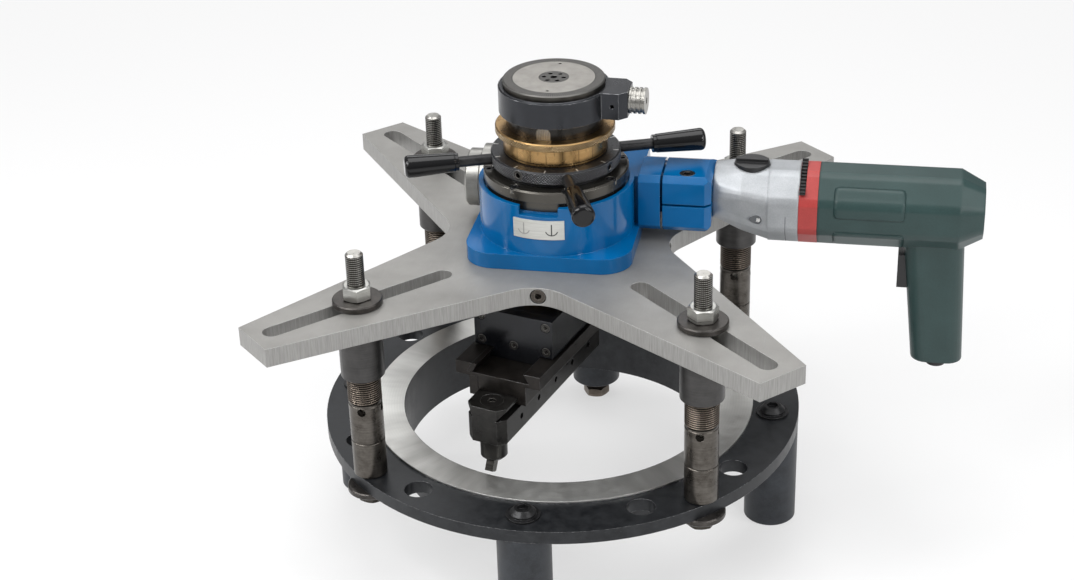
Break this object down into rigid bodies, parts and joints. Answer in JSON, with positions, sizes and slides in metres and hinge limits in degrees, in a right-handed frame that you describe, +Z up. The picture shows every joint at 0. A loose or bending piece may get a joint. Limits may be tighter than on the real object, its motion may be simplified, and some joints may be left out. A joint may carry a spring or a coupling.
{
  "type": "flange facing machine",
  "caption": "Portable flange facing machine: slotted spider plate on adjustable columns clamped to a flange, with geared spindle, hand feed ring, motor drive and sliding tool head",
  "frame": {"origin": "on the spindle axis, in the plane of the flange's bolting face", "axes": "+Z up along the spindle axis, +X towards the motor, +Y away from the side with the tool"},
  "size_m": [0.6354, 0.491, 0.4518],
  "materials": {
    "adjuster_steel": "oily dark grey, turned",
    "band_red": "semi-gloss red",
    "bearing_steel": "ground and polished",
    "bit_steel": "ground high-speed steel",
    "black_plastic": "satin black moulding",
    "blue_paint": "glossy blue enamel",
    "bolt_zinc": "zinc plated, satin",
    "box_steel": "black oxide, semi-gloss",
    "bronze": "satin turned bronze",
    "cap_silver": "pale satin, turned",
    "cap_steel": "dark brushed steel",
    "case_silver": "sandblasted casting",
    "collar_steel": "blue-black satin",
    "cover_steel": "satin turned steel",
    "dark_screw": "black oxide, satin",
    "dial_brass": "satin brass with engraved divisions",
    "disc_steel": "fine turned face",
    "foot_steel": "mottled brownish gunmetal",
    "key_steel": "bright ground steel",
    "knob_black": "gloss black",
    "label_metal": "matte etched sheet",
    "leg_steel": "dark blue-grey satin",
    "motor_green": "dark green, fine texture",
    "plate_steel": "light matte grey, milled edges",
    "quill_steel": "dark blued steel, oiled",
    "ring_black": "black oxide, knurled, satin",
    "ring_steel": "semi-gloss blackened steel with bright worn edges",
    "shaft_steel": "ground steel",
    "slide_steel": "brown-black oxide, satin",
    "washer_steel": "blackened, satin"
  },
  "bodies": {
    "stand": {"flange_ring": "ring_steel", "stand_legs": "leg_steel", "levelling_bolt": "foot_steel", "leg_screws": "dark_screw", "clamp_bolts": "bolt_zinc", "lower_washers": "washer_steel", "column_feet": "foot_steel"},
    "adjuster_fl": {"adjuster_front_left": "adjuster_steel"},
    "adjuster_fr": {"adjuster_front_right": "adjuster_steel"},
    "adjuster_rr": {"adjuster_rear_right": "adjuster_steel"},
    "adjuster_rl": {"adjuster_rear_left": "adjuster_steel"},
    "machine": {"column_caps": "cap_steel", "upper_washers": "washer_steel", "upper_nuts": "bolt_zinc", "spider_plate": "plate_steel", "lock_screws": "dark_screw", "gear_housing": "blue_paint", "instruction_plate": "label_metal", "bearing_cover": "cover_steel", "cover_screws": "dark_screw", "main_bearings": "bearing_steel", "lower_bush": "bronze", "worm_bearings": "bearing_steel", "worm_cap": "cap_silver", "motor_clamp": "blue_paint", "motor_clamp_screw": "dark_screw", "gear_case": "case_silver", "motor_band": "band_red", "motor_housing": "motor_green", "cable_gland": "black_plastic"},
    "selector": {"selector_knob": "black_plastic"},
    "trigger": {"trigger": "black_plastic"},
    "worm": {"worm_shaft": "shaft_steel"},
    "wheel": {"worm_wheel": "bronze"},
    "handle": {"handle_ring": "ring_black", "handle_rods": "dark_screw", "handle_knobs": "knob_black", "ring_screws": "dark_screw"},
    "dial": {"dial_ring": "dial_brass"},
    "quill": {"quill": "quill_steel", "quill_key": "key_steel", "spindle_bearings": "bearing_steel"},
    "spindle": {"spindle": "shaft_steel", "spindle_cap": "disc_steel", "head_box": "box_steel", "front_cover": "box_steel", "cover_bolts": "dark_screw"},
    "collar": {"feed_collar": "collar_steel"},
    "collar_screw": {"collar_screw": "cap_silver"},
    "feed_shaft": {"feed_shaft": "shaft_steel"},
    "feed_screw": {"feed_screw": "shaft_steel"},
    "cross_slide": {"cross_slide": "slide_steel", "slide_gib": "key_steel", "gib_screws": "dark_screw", "keep_strip": "slide_steel", "feed_nut": "bronze"},
    "tool_slide": {"tool_slide": "box_steel", "tool_clamp_screw": "dark_screw"},
    "tool_post": {"tool_post": "adjuster_steel", "tool_bit": "bit_steel"}
  },
  "joints": [
    {"name": "adjuster_turn_fr", "type": "hinge", "parent": "stand", "child": "adjuster_fr", "pos_m": [0.15344, -0.15344, 0.0373], "axis": [0, 0, 1], "range_deg": [0, 2160]},
    {"name": "adjuster_turn_fl", "type": "hinge", "parent": "stand", "child": "adjuster_fl", "pos_m": [-0.15344, -0.15344, 0.0373], "axis": [0, 0, 1], "range_deg": [0, 2160]},
    {"name": "adjuster_turn_rr", "type": "hinge", "parent": "stand", "child": "adjuster_rr", "pos_m": [0.15344, 0.15344, 0.0373], "axis": [0, 0, 1], "range_deg": [0, 2160]},
    {"name": "adjuster_turn_rl", "type": "hinge", "parent": "stand", "child": "adjuster_rl", "pos_m": [-0.15344, 0.15344, 0.0373], "axis": [0, 0, 1], "range_deg": [0, 2160]},
    {"name": "plate_lift", "type": "slide", "parent": "stand", "child": "machine", "axis": [0, 0, 1], "range_m": [0, 0.012]},
    {"name": "selector_turn", "type": "hinge", "parent": "machine", "child": "selector", "pos_m": [0.1773, 0.04, 0.242], "axis": [0, 0, 1], "range_deg": [0, 90]},
    {"name": "trigger_press", "type": "slide", "parent": "machine", "child": "trigger", "axis": [1, 0, 0], "range_m": [0, 0.008], "stiffness_N_per_m": 400, "springref_m": -0.003},
    {"name": "worm_turn", "type": "hinge", "parent": "machine", "child": "worm", "pos_m": [0, 0.04, 0.215], "axis": [1, 0, 0], "continuous": true},
    {"name": "wheel_turn", "type": "hinge", "parent": "machine", "child": "wheel", "pos_m": [0, 0, 0.215], "axis": [0, 0, 1], "continuous": true},
    {"name": "handle_turn", "type": "hinge", "parent": "machine", "child": "handle", "pos_m": [0, 0, 0.262], "axis": [0, 0, 1], "range_deg": [-1080, 120]},
    {"name": "dial_turn", "type": "hinge", "parent": "handle", "child": "dial", "pos_m": [0, 0, 0.28], "axis": [0, 0, 1], "continuous": true},
    {"name": "quill_feed", "type": "slide", "parent": "machine", "child": "quill", "axis": [0, 0, -1], "range_m": [-0.012, 0.00134]},
    {"name": "spindle_turn", "type": "hinge", "parent": "quill", "child": "spindle", "pos_m": [0, 0, 0.2], "axis": [0, 0, 1], "continuous": true},
    {"name": "collar_turn", "type": "hinge", "parent": "spindle", "child": "collar", "pos_m": [0, 0, 0.319], "axis": [0, 0, 1], "continuous": true},
    {"name": "collar_screw_turn", "type": "hinge", "parent": "collar", "child": "collar_screw", "pos_m": [0.0699, -0.00366, 0.3193], "axis": [0.9986, -0.0523, 0], "range_deg": [-180, 180]},
    {"name": "feed_shaft_turn", "type": "hinge", "parent": "spindle", "child": "feed_shaft", "pos_m": [0, 0, 0.2], "axis": [0, 0, 1], "range_deg": [-5040, 3600]},
    {"name": "feed_screw_turn", "type": "hinge", "parent": "spindle", "child": "feed_screw", "pos_m": [0, 0, 0.118], "axis": [-0.2756, -0.9613, 0], "range_deg": [-5040, 3600]},
    {"name": "cross_feed", "type": "slide", "parent": "spindle", "child": "cross_slide", "axis": [-0.2756, -0.9613, 0], "range_m": [-0.028, 0.02]},
    {"name": "tool_reach", "type": "slide", "parent": "cross_slide", "child": "tool_slide", "axis": [-0.2756, -0.9613, 0], "range_m": [-0.06, 0.014]},
    {"name": "tool_post_turn", "type": "hinge", "parent": "tool_slide", "child": "tool_post", "pos_m": [-0.03928, -0.13698, 0.04], "axis": [0, 0, 1], "range_deg": [-45, 45]}
  ],
  "couplings": [
    {"joint": "adjuster_turn_fr", "follows": "plate_lift", "rad_per_m": 3141.6},
    {"joint": "adjuster_turn_fl", "follows": "plate_lift", "rad_per_m": 3141.6},
    {"joint": "adjuster_turn_rr", "follows": "plate_lift", "rad_per_m": 3141.6},
    {"joint": "adjuster_turn_rl", "follows": "plate_lift", "rad_per_m": 3141.6},
    {"joint": "wheel_turn", "follows": "spindle_turn", "ratio": 1},
    {"joint": "worm_turn", "follows": "spindle_turn", "ratio": 28},
    {"joint": "quill_feed", "follows": "handle_turn", "m_per_rad": 0.00063662},
    {"joint": "feed_screw_turn", "follows": "feed_shaft_turn", "ratio": 1},
    {"joint": "cross_feed", "follows": "feed_shaft_turn", "m_per_rad": 0.00031831}
  ]
}
